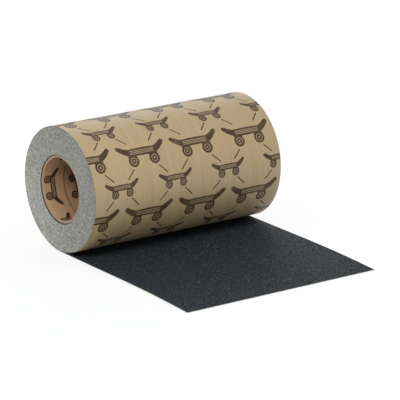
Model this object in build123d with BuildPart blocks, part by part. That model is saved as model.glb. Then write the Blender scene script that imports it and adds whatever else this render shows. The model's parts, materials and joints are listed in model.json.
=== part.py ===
"""Roll of skateboard grip tape on a paper core, with the free end laid out flat in front of it.

The tape is one web of four layers: release liner, adhesive, backing film and grit coat. It is wound
liner outwards on a core of glued paper plies, and it leaves the roll at the bottom, towards -Y. Its
first and outermost turns, and the stretch that has left the roll, are modelled layer by layer, and the
turns between them are one solid, because they are pressed into one block.

Frame: the origin is the middle of the core's bore, +X runs along the core, +Z is up, and the surface
that the roll and the laid-out tape rest on is at z = -axis_height. All sizes are in millimetres.

The web's spiral is drawn with half circles about two centres, half a pitch apart on the Z axis, so that
each turn lies one pitch outside the one before it and every joint between half circles is tangent.
"""

from build123d import *
import math
import os

# ---- driving dimensions -------------------------------------------------------------------------------
web_width = 266.7  # 10.5 in, along the core
bore_radius = 38.1  # 3 in core
axis_height = 75.9  # from the surface up to the core's axis
laid_length = 257.5  # tape lying flat, from under the axis to its cut end
lead_length = 20.0  # the part of it that always stays next to the roll
lead_angle = 12.0  # degrees that the lead-in follows the roll up behind the contact line

# Web layers, from its outer face (the liner's printed side) inwards: name and thickness.
web_layers = (
    ("liner", 0.11),
    ("adhesive", 0.08),
    ("film", 0.1),
    ("grit", 0.36),
)

# Core plies, from the bore outwards, all of one thickness.
core_plies = (
    "core_inner_ply",
    "core_body_ply_1",
    "core_body_ply_2",
    "core_body_ply_3",
    "core_outer_ply",
)
ply_thickness = 0.5
core_recess = 1.2  # each end of the core sits this far inside the web's edge

start_tape_thickness = 0.25
start_tape_angle = 40.0  # degrees of the core that the start tape covers
start_tape_margin = 6.0  # from each end of the core
start_clearance = 0.3  # from the core to the web's inner end, which leaves room for the start tape

roll_clearance = 0.35  # between the roll and the laid-out tape below it
half_turns = 99  # in the whole winding
layered_half_turns = 2  # of them, those modelled layer by layer, at the inside and again at the outside

# ---- worked out from them -------------------------------------------------------------------------------
web_thickness = sum(thickness for _, thickness in web_layers)
core_radius = bore_radius + ply_thickness * len(core_plies)
core_length = web_width - 2 * core_recess
winding_depth = (
    axis_height - 2 * web_thickness - roll_clearance - core_radius - start_clearance
)
pitch = 2 * winding_depth / half_turns
centre_shift = pitch / 4
last_radius = axis_height - web_thickness - roll_clearance - centre_shift

# Half turns are numbered from the outside inwards, and listed in the order in which they are wound.
first_turn = range(half_turns - 1, half_turns - 1 - layered_half_turns, -1)
outer_turn = range(layered_half_turns - 1, -1, -1)
block_inside = (first_turn[-1] - 1, first_turn[-1] - 2)
block_outside = (outer_turn[0] + 2, outer_turn[0] + 1)

os.makedirs("parts", exist_ok=True)


def write(builder, label):
    """Labels a finished piece and writes it as one STEP file."""
    builder.part.label = label
    export_step(builder.part, f"parts/{label}.step")


def spiral_arcs(halves, depth):
    """The line at one depth under the web's outer face, along these half turns.

    Half turn 0 is the outermost one, down the back to the bottom. Odd ones go up the front.
    """
    for number in halves:
        on_back = number % 2 == 0
        CenterArc(
            center=(0, -centre_shift if on_back else centre_shift),
            radius=last_radius - number * pitch / 2 - depth,
            start_angle=90 if on_back else -90,
            arc_size=-180,
        )


def spiral_end(number, at_start, depth):
    """The point where a half turn starts or ends, at one depth under the web's outer face."""
    on_back = number % 2 == 0
    at_top = on_back == at_start
    centre = -centre_shift if on_back else centre_shift
    radius = last_radius - number * pitch / 2 - depth
    return (0, centre + radius if at_top else centre - radius)


def build_layered_turn(prefix, halves):
    """One turn of the wound web, each layer a band between two spirals, as wide as the web."""
    depth = 0
    for layer, thickness in web_layers:
        with BuildPart() as band:
            with BuildSketch(Plane.YZ.offset(-web_width / 2)):
                with BuildLine():
                    spiral_arcs(halves, depth)
                    spiral_arcs(halves, depth + thickness)
                    for number, at_start in ((halves[0], True), (halves[-1], False)):
                        Line(
                            spiral_end(number, at_start, depth),
                            spiral_end(number, at_start, depth + thickness),
                        )
                make_face()
            extrude(amount=web_width)
        write(band, f"{prefix}_{layer}")
        depth += thickness


def closed_turn(halves, depth):
    """One turn of the spiral, closed by a step one pitch high where its end passes its start."""
    spiral_arcs(halves, depth)
    Line(spiral_end(halves[-1], False, depth), spiral_end(halves[0], True, depth))


def build_wound_block():
    """The turns between the first and the outermost one, wound tight into one block."""
    with BuildPart() as block:
        with BuildSketch(Plane.YZ.offset(-web_width / 2)):
            with BuildLine():
                closed_turn(block_outside, 0)
            make_face()
            with BuildLine():
                closed_turn(block_inside, web_thickness)
            make_face(mode=Mode.SUBTRACT)
        extrude(amount=web_width)
    write(block, "wound_turns")


def build_core():
    """The paper core: plies of paper glued one on another, each one a tube."""
    for number, label in enumerate(core_plies):
        inner_radius = bore_radius + number * ply_thickness
        with BuildPart() as ply:
            with BuildSketch(Plane.YZ.offset(-core_length / 2)):
                Circle(inner_radius + ply_thickness)
                Circle(inner_radius, mode=Mode.SUBTRACT)
            extrude(amount=core_length)
        write(ply, label)


def build_start_tape():
    """The strip of double-sided tape that holds the web's inner end to the core, at the top."""
    length = core_length - 2 * start_tape_margin
    outer_radius = core_radius + start_tape_thickness
    with BuildPart() as tape:
        with BuildSketch(Plane.YZ.offset(-length / 2)):
            with BuildLine():
                inner = CenterArc((0, 0), core_radius, 90, -start_tape_angle)
                outer = CenterArc((0, 0), outer_radius, 90, -start_tape_angle)
                Line(inner @ 0, outer @ 0)
                Line(inner @ 1, outer @ 1)
            make_face()
        extrude(amount=length)
    write(tape, "core_start_tape")


def build_lead_in(label, depth, thickness):
    """One layer of the web where it leaves the roll: flat in front of the contact line, curved behind it."""
    outer_radius = axis_height - depth
    inner_radius = outer_radius - thickness
    with BuildPart() as lead_in:
        with BuildSketch(Plane.YZ.offset(-web_width / 2)):
            with BuildLine():
                below = CenterArc((0, 0), outer_radius, -90, lead_angle)
                above = CenterArc((0, 0), inner_radius, -90, lead_angle)
                Line(below @ 1, above @ 1)
                Polyline(
                    below @ 0,
                    (-lead_length, -outer_radius),
                    (-lead_length, -inner_radius),
                    above @ 0,
                )
            make_face()
        extrude(amount=web_width)
    write(lead_in, label)


def build_tail(label, depth, thickness):
    """One layer of the laid-out tape, from the lead-in to the cut end."""
    length = laid_length - lead_length
    with BuildPart() as tail:
        with BuildSketch(Plane.XY.offset(depth - axis_height)):
            with Locations((0, -lead_length - length / 2)):
                Rectangle(web_width, length)
        extrude(amount=thickness)
    write(tail, label)


build_core()
build_start_tape()

build_layered_turn("first_turn", first_turn)
build_wound_block()
build_layered_turn("outer_turn", outer_turn)

layer_depth = 0
for layer, layer_thickness in web_layers:
    build_lead_in(f"lead_in_{layer}", layer_depth, layer_thickness)
    build_tail(f"tail_{layer}", layer_depth, layer_thickness)
    layer_depth += layer_thickness

# ---- what the winding comes to -----------------------------------------------------------------------------
wound_length = sum(
    math.pi * (last_radius - number * pitch / 2 - web_thickness / 2)
    for number in range(half_turns)
)
print(
    f"{half_turns / 2} turns hold {wound_length / 1000:.2f} m of tape at {pitch:.3f} mm a turn, "
    f"and {laid_length / 1000:.3f} m lies flat"
)
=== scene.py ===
"""Looks for a roll of skateboard grip tape: printed kraft liner, wound edges, paper core and grit.

A printed sheet is described flat, by u and v, with v growing in the direction in which its print
stands up, and is then placed round the roll, along the laid-out strip or inside the core. On the web,
u runs along the core and v along the web. On the core's lining, u runs round the core and v along it.
"""

import json
import math
import random

import bpy
from mathutils import Matrix, Vector
from mathutils.geometry import delaunay_2d_cdt


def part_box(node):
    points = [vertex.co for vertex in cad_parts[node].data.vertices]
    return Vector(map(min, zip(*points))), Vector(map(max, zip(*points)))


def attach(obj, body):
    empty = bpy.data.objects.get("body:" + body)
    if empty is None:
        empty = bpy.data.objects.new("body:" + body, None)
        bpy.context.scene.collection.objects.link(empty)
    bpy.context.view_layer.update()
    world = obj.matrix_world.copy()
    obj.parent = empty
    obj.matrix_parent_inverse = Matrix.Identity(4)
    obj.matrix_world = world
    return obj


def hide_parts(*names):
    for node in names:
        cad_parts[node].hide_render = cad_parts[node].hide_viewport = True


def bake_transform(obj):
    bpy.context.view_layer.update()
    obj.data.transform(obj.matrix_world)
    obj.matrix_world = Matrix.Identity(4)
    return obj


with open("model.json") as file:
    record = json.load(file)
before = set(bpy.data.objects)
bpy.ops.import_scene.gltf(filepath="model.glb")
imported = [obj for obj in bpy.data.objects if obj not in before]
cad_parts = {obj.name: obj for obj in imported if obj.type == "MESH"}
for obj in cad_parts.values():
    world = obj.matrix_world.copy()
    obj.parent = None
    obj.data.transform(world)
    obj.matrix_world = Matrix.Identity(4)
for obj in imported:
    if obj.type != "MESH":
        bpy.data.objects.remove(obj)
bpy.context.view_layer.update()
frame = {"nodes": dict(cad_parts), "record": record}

MM = 0.001

# ---- what the frame says ------------------------------------------------------------------------------
LAYERS = ("liner", "adhesive", "film", "grit")
FLOOR_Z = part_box("tail_liner")[0].z
CUT_END_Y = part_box("tail_liner")[0].y
WEB_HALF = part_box("wound_turns")[1].x
CORE_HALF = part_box("core_inner_ply")[1].x
MOUNTS = {mount["name"]: mount for mount in frame["record"]["mounts"]}
BORE_RADIUS = MOUNTS["core_bore"]["dims"]["r_mm"] * MM
LINING_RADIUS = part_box("core_inner_ply")[1].z
AXIS_HEIGHT = -FLOOR_Z

# Depth of each layer's two faces from the web's printed face. The laid-out tape lies printed face down.
LAYER_TOP = {layer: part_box(f"tail_{layer}")[1].z - FLOOR_Z for layer in LAYERS}
LAYER_BOTTOM = {layer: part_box(f"tail_{layer}")[0].z - FLOOR_Z for layer in LAYERS}
WEB_THICKNESS = LAYER_TOP["grit"]

ROLL_GAP = 0.05 * MM  # between the roll and the strip it stands on
ROLL_RADIUS = AXIS_HEIGHT - WEB_THICKNESS - ROLL_GAP
ROLL_GIRTH = 2 * math.pi * ROLL_RADIUS
LINING_GIRTH = 2 * math.pi * BORE_RADIUS

# The block is the winding without its first and outermost turns. Its spiral, the line along the inside
# of its turns, is a whole number of half turns long and ends one pitch inside the block's rim.
TURN_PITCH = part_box("wound_turns")[0].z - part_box("outer_turn_liner")[0].z
BLOCK_RADIUS = ROLL_RADIUS - WEB_THICKNESS
BLOCK_START_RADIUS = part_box("first_turn_liner")[1].z - WEB_THICKNESS
BLOCK_TURNS = round((BLOCK_RADIUS - BLOCK_START_RADIUS) / TURN_PITCH * 2) / 2 - 1

# ---- chosen -------------------------------------------------------------------------------------------
JOIN_GAP = 0.06 * MM  # where the two ends of a sheet meet round the roll or round the core
SLIVER = 0.01 * MM  # a point this near to a border lies on it

STRIP_WRAP = 20 * MM  # how far the strip's end follows the roll up its back
STRIP_END_RADIUS = ROLL_RADIUS + 0.09 * MM  # of the printed face there
STRIP_END_SHARE = 0.08  # of the web's thickness that is left there
STRIP_BOW = 1.8 * MM  # the strip bows up this far off the floor
STRIP_BOW_SKEW = 1.6  # above 1, the bow is highest nearer to the cut end
STRIP_END_LIFT = 0.4 * MM  # and its cut end stands this far off it
GRAIN_STEP = 1.25 * MM  # from one point of the strip's grit to the next
GRAIN_HEIGHT = 0.09 * MM  # the most that such a point is sunk

# The winding's end, for each turn: points across the rib, as a share of the pitch and a height.
RIB = ((0.0, 0.0), (0.42, 0.07 * MM), (0.82, 0.0), (0.91, 0.10 * MM))
RIB_MARGIN = 0.12 * MM  # from the foot of a rib out to the web's edge
TURN_DRIFT = 0.12 * MM  # the most that a turn is shifted along the core by itself
DRIFT_KEPT = 0.8  # share of the last turn's shift that the next one keeps

# The web's print: rows of large boards and rows of small ones, which stand between the large.
REPEAT_U = 76 * MM
REPEAT_V = 74 * MM
LARGE_U = 18.5 * MM
LARGE_V = 20.6 * MM  # of the first large row above the roll's lowest line
STRIP_LARGE_V = LARGE_V - ROLL_GIRTH + 6 * REPEAT_V  # of a large row on the strip, in step with the roll's
LARGE_REACH = 17 * MM  # up and down from the middle of a row: a row stands whole or not at all
SMALL_REACH = 13 * MM
SMALL_SCALE = 0.7
DASH_HALF = 0.75 * MM  # half a dash's thickness
DASH_UP = (0.26, 0.54)  # where a dash starts and ends, as shares of the way up to a large board
DASH_DOWN = (0.33, 0.60)  # and of the way down to one

# The lining's print. A row's two values are the place of one of its boards: round the core, and along it.
SEAM_X = -CORE_HALF + 29.5 * MM
# Half the width of the band of painted shadow drawn along the seam's butt gap.
SEAM_SHADOW_HALF = 0.75 * MM
LINING_COLUMNS = 4  # boards round the core
LINING_END_ROW = (9.0 * MM, SEAM_X - 17.8 * MM)  # the one row between the seam and the core's end
LINING_FIRST_ROW = (13.0 * MM, SEAM_X + 17.0 * MM)  # the first of those beyond the seam

# The printed board, in mm, from the middle of its deck's flat part.
DECK_HALF = 31.0
DECK_THICK = 5.0  # half its thickness in the middle
DECK_THIN = 2.8  # and at its ends
DECK_FLAT = 17.0  # half the length of the flat part
DECK_BENT = 31.5  # from the middle to where the kicks are full
NOSE_KICK = 9.0
TAIL_KICK = 7.5
KICK_POWER = 1.5
LINE_HALF = 16.5  # bare lines along the deck
LINE_THICK = 0.34  # half
LINE_RISES = (-1.9, 0.0, 1.9)
TRUCK_X = 14.5
TRUCK_TOP = (7.0, -4.2)  # half width, and y
TRUCK_FOOT = (2.8, -10.0)
WHEEL_Y = -10.6
TYRE_RADIUS = 7.2
RING_RADII = (4.3, 3.6)
AXLE_RADIUS = 1.1
BOARD_RISE = 3.2  # puts the middle of the board's height at its place

# Which of a printed sheet's materials a face takes. The last is the painted shadow along the lining's seam.
PAPER, PRINT, EDGE, SEAM_SHADOW = range(4)

# Colours, linear.
KRAFT_LIGHT = (0.410, 0.307, 0.171)
KRAFT_DARK = (0.348, 0.258, 0.141)
KRAFT_INK = (0.060, 0.035, 0.018)
LINING_LIGHT = (0.43, 0.28, 0.165)
LINING_DARK = (0.36, 0.232, 0.133)
LINING_INK = (0.034, 0.020, 0.012)
# The seam's colour is a painted shadow in its butt gap.
SEAM_SHADOW_COLOUR = (0.16, 0.095, 0.058)


# ---- print --------------------------------------------------------------------------------------------
def circle(x, y, radius, count=20):
    return [
        (x + radius * math.cos(2 * math.pi * i / count), y + radius * math.sin(2 * math.pi * i / count))
        for i in range(count)
    ]


def deck_bend(x):
    """Height of the deck's middle line at x: flat between the trucks, kicked up at nose and tail."""
    kick = max(abs(x) - DECK_FLAT, 0) / (DECK_BENT - DECK_FLAT)
    return (NOSE_KICK if x > 0 else TAIL_KICK) * kick**KICK_POWER


def round_cap(start, end, count):
    """Points of the half circle from start round to end, without those two."""
    middle = Vector(start).lerp(Vector(end), 0.5)
    arm = Vector(start) - middle
    points = []
    for k in range(1, count):
        turn = math.pi * k / count
        points.append(
            (
                middle.x + arm.x * math.cos(turn) - arm.y * math.sin(turn),
                middle.y + arm.x * math.sin(turn) + arm.y * math.cos(turn),
            )
        )
    return points


def deck_band(half, thick_middle, thick_end, count=28, cap=10):
    """A band with round ends along the deck's middle line, as thick as given on each side of it."""
    near = 0.01
    below, above = [], []
    for i in range(count + 1):
        x = -half + 2 * half * i / count
        slope = (deck_bend(x + near) - deck_bend(x - near)) / (2 * near)
        thick = thick_end + (thick_middle - thick_end) * (1 - (x / half) ** 2)
        across = Vector((-slope, 1)).normalized() * thick
        below.append((x - across.x, deck_bend(x) - across.y))
        above.append((x + across.x, deck_bend(x) + across.y))
    right_end = round_cap(below[-1], above[-1], cap)
    left_end = round_cap(above[0], below[0], cap)
    return below + right_end + above[::-1] + left_end


def board_mark():
    """A generic skateboard seen from the side: outlines in mm, each with what it is filled with."""
    shapes = [(deck_band(DECK_HALF, DECK_THICK, DECK_THIN), PRINT)]
    for rise in LINE_RISES:
        line = [(x, y + rise) for x, y in deck_band(LINE_HALF, LINE_THICK, LINE_THICK, count=1, cap=4)]
        shapes.append((line, PAPER))
    top_half, top_y = TRUCK_TOP
    foot_half, foot_y = TRUCK_FOOT
    for x in (-TRUCK_X, TRUCK_X):
        truck = [
            (x - foot_half, foot_y),
            (x + foot_half, foot_y),
            (x + top_half, top_y),
            (x - top_half, top_y),
        ]
        shapes.append((truck, PRINT))
        shapes.append((circle(x, WHEEL_Y, TYRE_RADIUS, 32), PRINT))
        for radius, fill in zip(RING_RADII, (PAPER, PRINT)):
            shapes.append((circle(x, WHEEL_Y, radius), fill))
        shapes.append((circle(x, WHEEL_Y, AXLE_RADIUS, 10), PAPER))
    return shapes


BOARD = board_mark()


def placed_board(u, v, scale):
    return [
        ([(u + x * MM * scale, v + (y + BOARD_RISE) * MM * scale) for x, y in outline], fill)
        for outline, fill in BOARD
    ]


def dash(u, v, du, dv):
    """A thin dash on the way from a small board to the large one at (du, dv) from it."""
    away = math.hypot(du, dv)
    along_u, along_v = du / away, dv / away
    near, far = (share * away for share in (DASH_UP if dv > 0 else DASH_DOWN))
    corners = ((near, -DASH_HALF), (far, -DASH_HALF), (far, DASH_HALF), (near, DASH_HALF))
    outline = [(u + a * along_u - b * along_v, v + a * along_v + b * along_u) for a, b in corners]
    return outline, PRINT


def web_print(low_v, high_v, large_v):
    """The web's print: the rows of large and small boards that lie wholly between low_v and high_v.

    Rows stand half a repeat apart. The even ones are large, and row 0 is at large_v.
    """
    rows = []
    first = math.floor((low_v - large_v) / (REPEAT_V / 2))
    last = math.ceil((high_v - large_v) / (REPEAT_V / 2))
    for row in range(first, last + 1):
        v = large_v + row * REPEAT_V / 2
        reach = LARGE_REACH if row % 2 == 0 else SMALL_REACH
        if v - reach > low_v and v + reach < high_v:
            rows.append(row)
    marks = []
    for row in rows:
        v = large_v + row * REPEAT_V / 2
        small = row % 2 == 1
        start = LARGE_U + (REPEAT_U / 2 if small else 0)
        first_u = math.floor((-WEB_HALF - start) / REPEAT_U)
        last_u = math.ceil((WEB_HALF - start) / REPEAT_U)
        for column in range(first_u, last_u + 1):
            u = start + column * REPEAT_U
            marks += placed_board(u, v, SMALL_SCALE if small else 1.0)
            if small:
                for side in (-1, 1):
                    for up in (-1, 1):
                        if row + up in rows:
                            marks.append(dash(u, v, side * REPEAT_U / 2, up * REPEAT_V / 2))
    return marks


def lining_print():
    """The lining's print: rows of small boards, and the seam as a band of painted shadow. A board on the
    join is drawn at both ends.
    """
    around = LINING_GIRTH / LINING_COLUMNS
    past_end = 20 * MM  # a row's middle may stand this far past the core's end, where it is cut off
    start, end_row = LINING_END_ROW
    marks = []
    for column in range(-2, 3):
        marks += placed_board(start + column * around, end_row, SMALL_SCALE)
    start, row_v = LINING_FIRST_ROW
    shift = 0.0
    while row_v < CORE_HALF + past_end:
        for column in range(-3, 3):
            marks += placed_board(start + shift + column * around, row_v, SMALL_SCALE)
        row_v += REPEAT_V / 2
        shift = around / 2 - shift
    # A band of painted shadow along the seam's butt gap.
    seam_shadow = [
        (-LINING_GIRTH, SEAM_X - SEAM_SHADOW_HALF),
        (LINING_GIRTH, SEAM_X - SEAM_SHADOW_HALF),
        (LINING_GIRTH, SEAM_X + SEAM_SHADOW_HALF),
        (-LINING_GIRTH, SEAM_X + SEAM_SHADOW_HALF),
    ]
    return marks + [(seam_shadow, SEAM_SHADOW)]


def printed_sheet(u_range, v_range, marks, step_u, step_v):
    """A flat sheet cut along the print's outlines: points (u, v), triangles, and each one's material.

    Lines step_u and step_v apart also cut it, so that it can be bent. Marks are cut off at its borders.
    """
    u0, u1 = u_range
    v0, v1 = v_range
    points, loops, fills, edges = [], [], [], []

    def add_loop(outline, fill):
        area = sum(a[0] * b[1] - b[0] * a[1] for a, b in zip(outline, outline[1:] + outline[:1]))
        ordered = outline if area > 0 else outline[::-1]
        loops.append(list(range(len(points), len(points) + len(ordered))))
        points.extend(Vector(p) for p in ordered)
        fills.append(fill)

    def add_line(a, b):
        edges.append((len(points), len(points) + 1))
        points.extend((Vector(a), Vector(b)))

    add_loop([(u0, v0), (u1, v0), (u1, v1), (u0, v1)], PAPER)
    for outline, fill in marks:
        add_loop(outline, fill)
    count_v = round((v1 - v0) / step_v)
    count_u = round((u1 - u0) / step_u)
    for i in range(1, count_v):
        v = v0 + (v1 - v0) * i / count_v
        add_line((u0, v), (u1, v))
    for i in range(1, count_u):
        u = u0 + (u1 - u0) * i / count_u
        add_line((u, v0), (u, v1))
    whole_hull = 0
    tolerance = 1e-7
    found, _, triangles, _, _, owners = delaunay_2d_cdt(
        points, edges, loops, whole_hull, tolerance, True
    )
    kept, kept_fills = [], []
    for triangle, owner in zip(triangles, owners):
        if 0 in owner:  # it lies in loop 0, the sheet itself, and the last mark over it fills it
            kept.append(tuple(triangle))
            kept_fills.append(fills[max(owner)])
    used = sorted({i for triangle in kept for i in triangle})
    number = {old: new for new, old in enumerate(used)}
    flat = [(found[i].x, found[i].y) for i in used]
    return flat, [tuple(number[i] for i in t) for t in kept], kept_fills


# ---- meshes -------------------------------------------------------------------------------------------
def new_piece(name, vertices, faces, materials, slots=None, smooth_below=40):
    """A mesh object whose edges sharper than smooth_below degrees stay sharp."""
    mesh = bpy.data.meshes.new(name)
    mesh.from_pydata([tuple(v) for v in vertices], [], faces)
    for material in materials:
        mesh.materials.append(material)
    if slots:
        mesh.polygons.foreach_set("material_index", slots)
    mesh.polygons.foreach_set("use_smooth", [True] * len(faces))
    mesh.set_sharp_from_angle(angle=math.radians(smooth_below))
    mesh.validate()
    mesh.update()
    piece = bpy.data.objects.new(name, mesh)
    bpy.context.scene.collection.objects.link(piece)
    return piece


def sheet_shell(flat, flat_faces, printed, behind):
    """A closed shell from a flat sheet, its printed face through printed(u, v), the other through behind.

    Its faces are the printed ones, those behind and one for each edge of the border, in that order. The
    border's edges are returned too.
    """
    count = len(flat)
    vertices = [printed(u, v) for u, v in flat] + [behind(u, v) for u, v in flat]
    directed = {}
    for face in flat_faces:
        for edge in zip(face, face[1:] + face[:1]):
            directed[edge] = True
    border = [(a, b) for a, b in directed if (b, a) not in directed]
    faces = list(flat_faces)
    faces += [tuple(i + count for i in reversed(face)) for face in flat_faces]
    faces += [(b, a, a + count, b + count) for a, b in border]
    return vertices, faces, border


def at_start(flat, a, b, start_v):
    """Whether the border's edge from a to b is the end of the sheet where v starts."""
    return max(flat[a][1], flat[b][1]) < start_v + SLIVER


def printed_piece(name, u_range, v_range, marks, steps, printed, behind, materials):
    """A closed printed sheet: the print on its face, paper behind, and cut edges round it."""
    flat, triangles, fills = printed_sheet(u_range, v_range, marks, *steps)
    vertices, faces, border = sheet_shell(flat, triangles, printed, behind)
    slots = fills + [PAPER] * len(triangles)
    slots += [PAPER if at_start(flat, a, b, v_range[0]) else EDGE for a, b in border]
    return new_piece(name, vertices, faces, materials, slots)


def ring_band(name, profile, materials, sides, segments=192):
    """A closed ring about the X axis. profile lists (x, radius) round its section; sides its materials."""
    vertices, faces, slots = [], [], []
    count = len(profile)
    for i in range(segments):
        angle = 2 * math.pi * i / segments
        vertices += [(x, r * math.sin(angle), r * math.cos(angle)) for x, r in profile]
    for i in range(segments):
        following = (i + 1) % segments
        for k in range(count):
            after = (k + 1) % count
            faces.append(
                (i * count + k, following * count + k, following * count + after, i * count + after)
            )
            slots.append(sides[k])
    return new_piece(name, vertices, faces, materials, slots)


# ---- materials ----------------------------------------------------------------------------------------
class Nodes:
    """Builds one material's node tree with short calls."""

    def __init__(self, name, roughness, specular):
        self.material = bpy.data.materials.new(name)
        self.material.use_nodes = True
        self.tree = self.material.node_tree
        self.shader = next(n for n in self.tree.nodes if n.type == "BSDF_PRINCIPLED")
        self.shader.inputs["Roughness"].default_value = roughness
        self.shader.inputs["Specular IOR Level"].default_value = specular
        self.place = self.tree.nodes.new("ShaderNodeTexCoord").outputs["Object"]

    def add(self, kind, links=None, values=None, **settings):
        made = self.tree.nodes.new(kind)
        for key, value in settings.items():
            setattr(made, key, value)
        for key, value in (values or {}).items():
            made.inputs[key].default_value = value
        for key, socket in (links or {}).items():
            self.tree.links.new(socket, made.inputs[key])
        return made

    def noise(self, size, stretch=(1, 1, 1), detail=2.0, rough=0.5):
        """Noise of about this size in metres, drawn out along each axis by stretch."""
        scale = tuple(1 / s for s in stretch)
        where = self.add("ShaderNodeMapping", {"Vector": self.place}, {"Scale": scale})
        made = self.add(
            "ShaderNodeTexNoise",
            {"Vector": where.outputs[0]},
            {"Scale": 1 / size, "Detail": detail, "Roughness": rough},
        )
        return made.outputs["Fac"]

    def math(self, operation, a, b=None):
        made = self.add("ShaderNodeMath", operation=operation)
        for i, x in enumerate((a, b)):
            if x is None:
                continue
            if isinstance(x, (int, float)):
                made.inputs[i].default_value = x
            else:
                self.tree.links.new(x, made.inputs[i])
        return made.outputs[0]

    def weighted(self, a, share_a, b, share_b):
        return self.math("ADD", self.math("MULTIPLY", a, share_a), self.math("MULTIPLY", b, share_b))

    def spread(self, value, low, high, to_low=0.0, to_high=1.0):
        made = self.add(
            "ShaderNodeMapRange",
            {"Value": value},
            {"From Min": low, "From Max": high, "To Min": to_low, "To Max": to_high},
        )
        return made.outputs[0]

    def mix(self, share, a, b, blend="MIX"):
        made = self.add("ShaderNodeMix", data_type="RGBA", blend_type=blend)
        colour_a, colour_b, colour_result = 6, 7, 2  # numbers of the sockets that RGBA mixing uses
        for i, x in ((0, share), (colour_a, a), (colour_b, b)):
            if isinstance(x, (int, float)):
                made.inputs[i].default_value = x
            elif isinstance(x, tuple):
                made.inputs[i].default_value = (*x, 1.0)
            else:
                self.tree.links.new(x, made.inputs[i])
        return made.outputs[colour_result]

    def tint(self, colour, share, low, high):
        """The colour multiplied by low where share is 0, and by high where it is 1."""
        return self.mix(1.0, colour, self.mix(share, low, high), blend="MULTIPLY")

    def axes(self):
        parts = self.add("ShaderNodeSeparateXYZ", {"Vector": self.place})
        return parts.outputs["X"], parts.outputs["Y"], parts.outputs["Z"]

    def colour(self, socket):
        self.tree.links.new(socket, self.shader.inputs["Base Color"])

    def roughness(self, socket):
        self.tree.links.new(socket, self.shader.inputs["Roughness"])

    def bump(self, height, strength, distance):
        made = self.add(
            "ShaderNodeBump", {"Height": height}, {"Strength": strength, "Distance": distance}
        )
        self.tree.links.new(made.outputs[0], self.shader.inputs["Normal"])


def kraft_colour(m, light, dark):
    """Kraft paper, cloudy, with its fibres drawn out along the web: the colour, and the fibres."""
    cloud = m.noise(3 * MM, stretch=(1, 40, 40), detail=3, rough=0.6)
    fibres = m.noise(0.7 * MM, stretch=(1, 9, 9), detail=3, rough=0.7)
    fleck = m.noise(1.1 * MM, stretch=(1, 3, 3), detail=1)
    share = m.weighted(cloud, 0.55, fibres, 0.45)
    plain = m.mix(m.spread(share, 0.35, 0.65), light, dark)
    fleck_colour = tuple(c * 0.55 for c in dark)
    return m.mix(m.spread(fleck, 0.68, 0.8, 0.0, 0.35), plain, fleck_colour), fibres


def painted_core_shade(m, colour):
    """The colour under painted shade: as it is at the ends of the core, and darker from there in."""
    # Painted shade: the lining darkens from the core's ends towards its middle, where little light reaches.
    deep, mouth = CORE_HALF - 48 * MM, CORE_HALF - 4 * MM
    deep_shade_tint, mouth_shade_tint = (0.48, 0.44, 0.41), (0.95, 0.94, 0.93)
    x, _, _ = m.axes()
    return m.tint(colour, m.spread(m.math("ABSOLUTE", x), deep, mouth), deep_shade_tint, mouth_shade_tint)


def kraft(name, light, dark, roughness=0.5, lining=False):
    m = Nodes(name, roughness, specular=0.2 if lining else 0.45)
    paper, fibres = kraft_colour(m, light, dark)
    m.colour(painted_core_shade(m, paper) if lining else paper)
    m.roughness(m.spread(fibres, 0.3, 0.7, roughness - 0.06, roughness + 0.08))
    m.bump(fibres, 0.25, 0.02 * MM)
    return m.material


def printed_ink(name, ink, light, dark, lining=False):
    """Ink on kraft: a little paper shows where the ink is thin."""
    m = Nodes(name, 0.45, specular=0.2)
    paper, fibres = kraft_colour(m, light, dark)
    thin = m.noise(0.9 * MM, detail=4, rough=0.75)
    worn = m.noise(14 * MM, detail=2)
    cover = m.weighted(thin, 0.7, worn, 0.3)
    inked = m.mix(m.spread(cover, 0.5, 0.72, 0.0, 0.4), ink, paper)
    m.colour(painted_core_shade(m, inked) if lining else inked)
    m.bump(fibres, 0.2, 0.02 * MM)
    return m.material


def cut_edge(name, colour, roughness=0.8):
    """A knife-cut edge, dusty with grit."""
    variation = 0.2
    m = Nodes(name, roughness, specular=0.2)
    dust = m.noise(0.8 * MM, detail=4, rough=0.7)
    cloud = m.noise(6 * MM, detail=2)
    low = tuple(c * (1 - variation) for c in colour)
    high = tuple(min(c * (1 + variation), 1) for c in colour)
    m.colour(m.mix(m.spread(m.weighted(dust, 0.6, cloud, 0.4), 0.35, 0.65), low, high))
    m.bump(dust, 0.4, 0.05 * MM)
    return m.material


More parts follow.
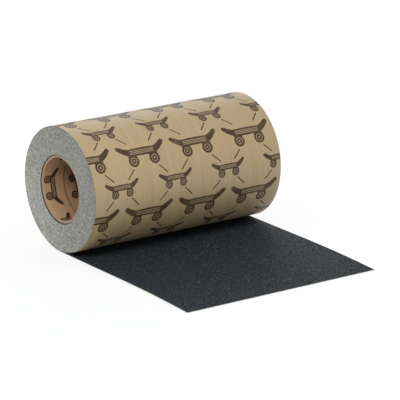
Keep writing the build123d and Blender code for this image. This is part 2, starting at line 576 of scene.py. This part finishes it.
def wound_edges(name):
    """The end of the winding: one pale line of liner and one grey band of grit sheet for each turn, with
    painted light and shade.
    """
    whole_turns = 20.0  # added so that the count of turns is nowhere below 0
    liner_colour = (0.35, 0.32, 0.265)
    grit_dark, grit_dusty = (0.107, 0.108, 0.101), (0.326, 0.325, 0.298)
    clean_colour = (0.165, 0.172, 0.165)
    shaded_tint, lit_tint = (0.7, 0.7, 0.7), (1.3, 1.3, 1.3)
    lighter_backwards, darker_upwards = 2.75, 1.4  # how fast painted light grows towards the back, and painted shade towards the top, per metre
    m = Nodes(name, 0.75, specular=0.2)
    _, y, z = m.axes()
    radius = m.math("SQRT", m.math("ADD", m.math("MULTIPLY", y, y), m.math("MULTIPLY", z, z)))
    angle = m.math("DIVIDE", m.math("ARCTAN2", y, z), 2 * math.pi)
    pitches = m.math("DIVIDE", m.math("SUBTRACT", radius, BLOCK_START_RADIUS), TURN_PITCH)
    phase = m.math("FRACT", m.math("ADD", m.math("SUBTRACT", pitches, angle), whole_turns))
    liner = m.math("GREATER_THAN", phase, 1 - LAYER_TOP["liner"] / TURN_PITCH)
    dust = m.noise(2.1 * MM, detail=4, rough=0.75)
    cloud = m.noise(11 * MM, detail=3)
    grit = m.mix(m.spread(dust, 0.38, 0.62), grit_dark, grit_dusty)
    both = m.mix(m.math("MULTIPLY", liner, 0.6), grit, liner_colour)
    clean = m.mix(m.spread(cloud, 0.4, 0.7, 0.0, 0.3), both, clean_colour)
    # Painted light and shade: a tint from lighter at the back and bottom to darker at the top.
    painted_light_slope = m.math("SUBTRACT", m.math("MULTIPLY", y, lighter_backwards), m.math("MULTIPLY", z, darker_upwards))
    m.colour(m.tint(clean, m.spread(painted_light_slope, -0.3, 0.3), shaded_tint, lit_tint))
    m.bump(dust, 0.6, 0.12 * MM)
    return m.material


def grit_face(name):
    """Silicon carbide grains: near black, slightly blue, with a few facets painted pale as painted glints.
    """
    m = Nodes(name, 0.72, specular=0.2)
    grain = m.noise(0.55 * MM, detail=2, rough=0.7)
    coarse = m.noise(3.2 * MM, detail=4, rough=0.75)
    cloud = m.noise(60 * MM, detail=2)
    facet = m.add("ShaderNodeTexVoronoi", {"Vector": m.place}, {"Scale": 1 / (1.0 * MM)})
    lit = m.add("ShaderNodeSeparateColor", {"Color": facet.outputs["Color"]})
    share = m.weighted(grain, 0.45, coarse, 0.55)
    base = m.mix(m.spread(share, 0.41, 0.59), (0.0026, 0.0040, 0.0054), (0.0280, 0.0350, 0.0410))
    base = m.mix(m.spread(cloud, 0.35, 0.65, 0.0, 0.2), base, (0.0145, 0.0185, 0.0225))
    # Painted glints: a few facets take a pale colour, as where grains would catch the light.
    painted_glint = m.spread(lit.outputs["Red"], 0.95, 1.0, 0.0, 0.45)
    m.colour(m.mix(painted_glint, base, (0.26, 0.28, 0.29)))
    m.roughness(m.spread(lit.outputs["Green"], 0.0, 1.0, 0.5, 0.95))
    m.bump(grain, 0.9, 0.25 * MM)
    return m.material


def board_ply(name, light, dark):
    """Grey-brown core board."""
    m = Nodes(name, 0.85, specular=0.2)
    fibre = m.noise(0.6 * MM, detail=4, rough=0.7)
    m.colour(m.mix(m.spread(fibre, 0.3, 0.7), light, dark))
    m.bump(fibre, 0.5, 0.06 * MM)
    return m.material


liner_paper = kraft("kraft_liner", KRAFT_LIGHT, KRAFT_DARK)
liner_ink = printed_ink("liner_ink", KRAFT_INK, KRAFT_LIGHT, KRAFT_DARK)
# The lining's paper, ink and seam take painted shade, darker from the core's ends in.
lining_paper = kraft("kraft_lining", LINING_LIGHT, LINING_DARK, roughness=0.6, lining=True)
lining_ink = printed_ink("lining_ink", LINING_INK, LINING_LIGHT, LINING_DARK, lining=True)
# Painted shadow along the lining's seam.
lining_seam_shadow = printed_ink("lining_seam_shadow", SEAM_SHADOW_COLOUR, LINING_LIGHT, LINING_DARK, lining=True)
liner_edge = cut_edge("liner_edge", (0.42, 0.38, 0.32))
grit_edge = cut_edge("grit_edge", (0.26, 0.26, 0.25))
# A near-black cut edge, on the outer turn's plain layers and the first turn's grit.
near_black_edge = cut_edge("near_black_edge", (0.06, 0.06, 0.06))
adhesive = cut_edge("adhesive_layer", (0.30, 0.28, 0.24), roughness=0.4)
backing_film = cut_edge("film_layer", (0.05, 0.05, 0.055), roughness=0.5)
winding_edge = wound_edges("wound_edges")
grit_coat = grit_face("grit_coat")
core_board = board_ply("core_board", (0.285, 0.210, 0.156), (0.215, 0.154, 0.112))

# The web's plain layers: name, material, slot, and the strip's mesh step and grain.
PLAIN_LAYERS = (
    ("adhesive", adhesive, "adhesive", 6 * MM, 0.0),
    ("film", backing_film, "backing_film", 6 * MM, 0.0),
    ("grit", grit_coat, "grit", GRAIN_STEP, GRAIN_HEIGHT),
)


# ---- the laid-out strip -------------------------------------------------------------------------------
def strip_point(u, v, depth):
    """Where the strip's point (u, v) lies, this far above its printed face. v grows to the cut end."""
    if v >= 0:
        share = min(v / -CUT_END_Y, 1.0)
        bow = STRIP_BOW * math.sin(math.pi * share**STRIP_BOW_SKEW) + STRIP_END_LIFT * share
        return u, -v, FLOOR_Z + depth + bow
    share = min(-v / STRIP_WRAP, 1.0)
    ease = share * share * (3 - 2 * share)
    radius = AXIS_HEIGHT + (STRIP_END_RADIUS - AXIS_HEIGHT) * ease
    radius -= depth * (1 + (STRIP_END_SHARE - 1) * ease)
    angle = -v / AXIS_HEIGHT
    return u, radius * math.sin(angle), -radius * math.cos(angle)


def strip_grid(name, layer, material, step, grain):
    """One plain layer of the strip: its coat, a cut edge round it, and paper at its end on the roll."""
    coat, cut, end = range(3)
    count_u = round(2 * WEB_HALF / step)
    count_v = round((STRIP_WRAP - CUT_END_Y) / step)
    row = count_u + 1
    flat = [
        (-WEB_HALF + 2 * WEB_HALF * i / count_u, -STRIP_WRAP + (STRIP_WRAP - CUT_END_Y) * j / count_v)
        for j in range(count_v + 1)
        for i in range(row)
    ]
    corners = [j * row + i for j in range(count_v) for i in range(count_u)]
    quads = [(a, a + 1, a + row + 1, a + row) for a in corners]
    draws = random.Random(layer)

    def grained(u, v):
        inner = abs(u) < WEB_HALF - SLIVER and 0 < v < -CUT_END_Y - SLIVER
        lower = grain * draws.uniform(-1, 0) if inner else 0.0
        return strip_point(u, v, LAYER_TOP[layer] + lower)

    vertices, faces, border = sheet_shell(
        flat, quads, lambda u, v: strip_point(u, v, LAYER_BOTTOM[layer]), grained
    )
    slots = [coat] * 2 * len(quads)
    slots += [end if at_start(flat, a, b, -STRIP_WRAP) else cut for a, b in border]
    return new_piece(name, vertices, faces, [material, grit_edge, liner_paper], slots)


def blend_strip(piece, layer):
    """Hides this strip layer's CAD nodes, the laid-out end and the part next to the roll, and bakes the
    piece's transform into its mesh.
    """
    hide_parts(f"tail_{layer}", f"lead_in_{layer}")
    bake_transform(piece)


def make_strip():
    past_end = 40 * MM  # rows may reach this far past the cut end, which cuts them off
    liner = printed_piece(
        "strip_liner",
        (-WEB_HALF, WEB_HALF),
        (-STRIP_WRAP, -CUT_END_Y),
        web_print(-STRIP_WRAP, -CUT_END_Y + past_end, STRIP_LARGE_V),
        (20 * MM, 5 * MM),
        lambda u, v: strip_point(u, v, 0.0),
        lambda u, v: strip_point(u, v, LAYER_TOP["liner"]),
        [liner_paper, liner_ink, liner_edge],
    )
    blend_strip(liner, "liner")
    for layer, material, slot, step, grain in PLAIN_LAYERS:
        blend_strip(strip_grid(f"strip_{layer}", layer, material, step, grain), layer)


# ---- the roll -----------------------------------------------------------------------------------------
def roll_point(u, v, radius):
    """Where the wound web's point (u, v) lies. v is measured from under the axis, up the roll's front."""
    angle = v / ROLL_RADIUS
    return u, -radius * math.sin(angle), -radius * math.cos(angle)


def ride_on_roll(piece, node):
    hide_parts(node)
    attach(piece, "roll")


def make_outer_turn():
    liner = printed_piece(
        "wrap_liner",
        (-WEB_HALF, WEB_HALF),
        (JOIN_GAP / 2, ROLL_GIRTH - JOIN_GAP / 2),
        web_print(0.0, ROLL_GIRTH, LARGE_V),
        (20 * MM, 3 * MM),
        lambda u, v: roll_point(u, v, ROLL_RADIUS),
        lambda u, v: roll_point(u, v, ROLL_RADIUS - LAYER_TOP["liner"]),
        [liner_paper, liner_ink, liner_edge],
    )
    ride_on_roll(liner, "outer_turn_liner")
    for layer, material, slot, _, _ in PLAIN_LAYERS:
        outside = ROLL_RADIUS - LAYER_BOTTOM[layer]
        inside = ROLL_RADIUS - LAYER_TOP[layer]
        section = [(WEB_HALF, outside), (-WEB_HALF, outside), (-WEB_HALF, inside), (WEB_HALF, inside)]
        band = ring_band(f"wrap_{layer}", section, [material, near_black_edge], (0, 1, 0, 1))
        ride_on_roll(band, f"outer_turn_{layer}")


def wound_block(per_turn=96):
    """The block of turns: both ends show every turn as a low rib, wound as one spiral.

    A row of vertices across the rib stands at each step of the spiral, and a plain rim closes the
    last turn to a circle. Walls round the bore and round the outside join the two ends.
    """
    steps = round(BLOCK_TURNS * per_turn)
    draws = random.Random(7)
    offsets = [0.0]
    for _ in range(math.ceil(BLOCK_TURNS) + 2):
        offsets.append(DRIFT_KEPT * offsets[-1] + draws.uniform(-TURN_DRIFT, TURN_DRIFT))
    vertices, faces, bores, rims = [], [], [], []

    def add(x, radius, step):
        angle = 2 * math.pi * step / per_turn
        vertices.append((x, radius * math.sin(angle), radius * math.cos(angle)))
        return len(vertices) - 1

    def add_row(side, step):
        turn = step / per_turn
        low = int(turn)
        offset = offsets[low] + (offsets[low + 1] - offsets[low]) * (turn - low)
        return [
            add(
                side * (WEB_HALF - RIB_MARGIN + height + offset),
                BLOCK_START_RADIUS + TURN_PITCH * (turn + share),
                step,
            )
            for share, height in RIB
        ]

    last = steps - per_turn  # the step at which the last turn starts
    for side in (-1, 1):
        rows = [add_row(side, step) for step in range(steps + 1)]
        rim = [add(side * WEB_HALF, BLOCK_RADIUS, last + i) for i in range(per_turn)]
        ends = []
        for step in range(steps):
            if step < last:
                outside = rows[step + per_turn][0], rows[step + per_turn + 1][0]
            else:
                outside = rim[step - last], rim[(step - last + 1) % per_turn]
            near, far = rows[step] + [outside[0]], rows[step + 1] + [outside[1]]
            ends += [(near[k], far[k], far[k + 1], near[k + 1]) for k in range(len(RIB))]
        ends.append((rim[0], *reversed(rows[steps]), rows[last][-1]))
        faces += ends if side > 0 else [face[::-1] for face in ends]
        bores.append([row[0] for row in rows[: per_turn + 1]] + rows[0][:0:-1])
        rims.append(rim)
    for (left, right), turned in ((bores, False), (rims, True)):
        for i in range(len(left)):
            j = (i + 1) % len(left)
            wall = (left[i], left[j], right[j], right[i])
            faces.append(wall[::-1] if turned else wall)
    return vertices, faces


def make_winding():
    vertices, faces = wound_block()
    block = new_piece("winding", vertices, faces, [winding_edge], smooth_below=60)
    ride_on_roll(block, "wound_turns")


# ---- the core -----------------------------------------------------------------------------------------
def lining_point(u, v, radius):
    """Inside the core: u runs round it from its back, and v along it."""
    angle = -u / BORE_RADIUS
    return v, radius * math.cos(angle), radius * math.sin(angle)


def make_lining():
    half = LINING_GIRTH / 2 - JOIN_GAP / 2
    lining = printed_piece(
        "core_lining",
        (-half, half),
        (-CORE_HALF, CORE_HALF),
        lining_print(),
        (2.5 * MM, 20 * MM),
        lambda u, v: lining_point(u, v, BORE_RADIUS),
        lambda u, v: lining_point(u, v, LINING_RADIUS),
        [lining_paper, lining_ink, core_board, lining_seam_shadow],
    )
    ride_on_roll(lining, "core_inner_ply")


def finish_cad_nodes():
    """Gives the CAD nodes that stay their materials."""
    finishes = {f"core_body_ply_{number}": core_board for number in (1, 2, 3)}
    finishes["core_outer_ply"] = core_board
    finishes["core_start_tape"] = adhesive
    finishes["first_turn_liner"] = liner_edge
    finishes["first_turn_adhesive"] = adhesive
    finishes["first_turn_film"] = backing_film
    finishes["first_turn_grit"] = near_black_edge
    for node, material in finishes.items():
        mesh = frame["nodes"][node].data
        mesh.materials.clear()
        mesh.materials.append(material)


# ---- floor, light and camera --------------------------------------------------------------------------
def make_floor():
    m = Nodes("floor", 0.9, specular=0.0)
    m.shader.inputs["Base Color"].default_value = (0.40, 0.40, 0.40, 1)
    m.shader.inputs["Emission Color"].default_value = (1, 1, 1, 1)
    m.shader.inputs["Emission Strength"].default_value = 0.75
    half = 60.0
    z = FLOOR_Z - 0.05 * MM
    corners = [(-half, -half, z), (half, -half, z), (half, half, z), (-half, half, z)]
    floor = new_piece("floor", corners, [(0, 1, 2, 3)], [m.material])
    return floor


def make_world():
    world = bpy.data.worlds.new("studio")
    bpy.context.scene.world = world
    world.use_nodes = True
    background = next(n for n in world.node_tree.nodes if n.type == "BACKGROUND")
    background.inputs["Color"].default_value = (0.95, 0.975, 1.0, 1)
    background.inputs["Strength"].default_value = 0.62


def make_light(name, energy, size, place, skips=None):
    """A round soft light aimed at the origin. The object skips gets neither its light nor its shadows."""
    data = bpy.data.lights.new(name, "AREA")
    data.energy = energy
    data.shape = "DISK"
    data.size = size
    lamp = bpy.data.objects.new(name, data)
    lamp.location = place
    lamp.rotation_euler = (-Vector(place)).to_track_quat("-Z", "Y").to_euler()
    bpy.context.scene.collection.objects.link(lamp)
    if skips:
        unlit = bpy.data.collections.new(f"{name}_skips")
        unlit.objects.link(skips)
        unlit.collection_objects[0].light_linking.link_state = "EXCLUDE"
        lamp.light_linking.receiver_collection = unlit


def make_camera():
    azimuth, elevation, roll = math.radians(-36.08), math.radians(17.81), math.radians(0.91)
    distance = 3.885
    target = Vector((69.3 * MM, 0, FLOOR_Z + 27.6 * MM))
    back = Vector(
        (
            math.sin(azimuth) * math.cos(elevation),
            -math.cos(azimuth) * math.cos(elevation),
            math.sin(elevation),
        )
    )
    data = bpy.data.cameras.new("camera")
    data.sensor_width = 36
    data.lens = 289.6
    data.clip_start = 0.1
    data.clip_end = 200
    camera = bpy.data.objects.new("camera", data)
    place = Matrix.Translation(target + back * distance)
    aim = (-back).to_track_quat("-Z", "Y").to_matrix().to_4x4()
    camera.matrix_world = place @ aim @ Matrix.Rotation(roll, 4, "Z")
    bpy.context.scene.collection.objects.link(camera)
    bpy.context.scene.camera = camera


make_strip()
make_outer_turn()
make_winding()
make_lining()
finish_cad_nodes()

studio_floor = make_floor()
make_world()
make_light("key", energy=49, size=1.0, place=(-1.7, -1.0, 1.6), skips=studio_floor)
make_light("back", energy=10, size=1.5, place=(1.3, 2.0, 1.2))
make_camera()
bpy.context.scene.view_settings.view_transform = "Standard"
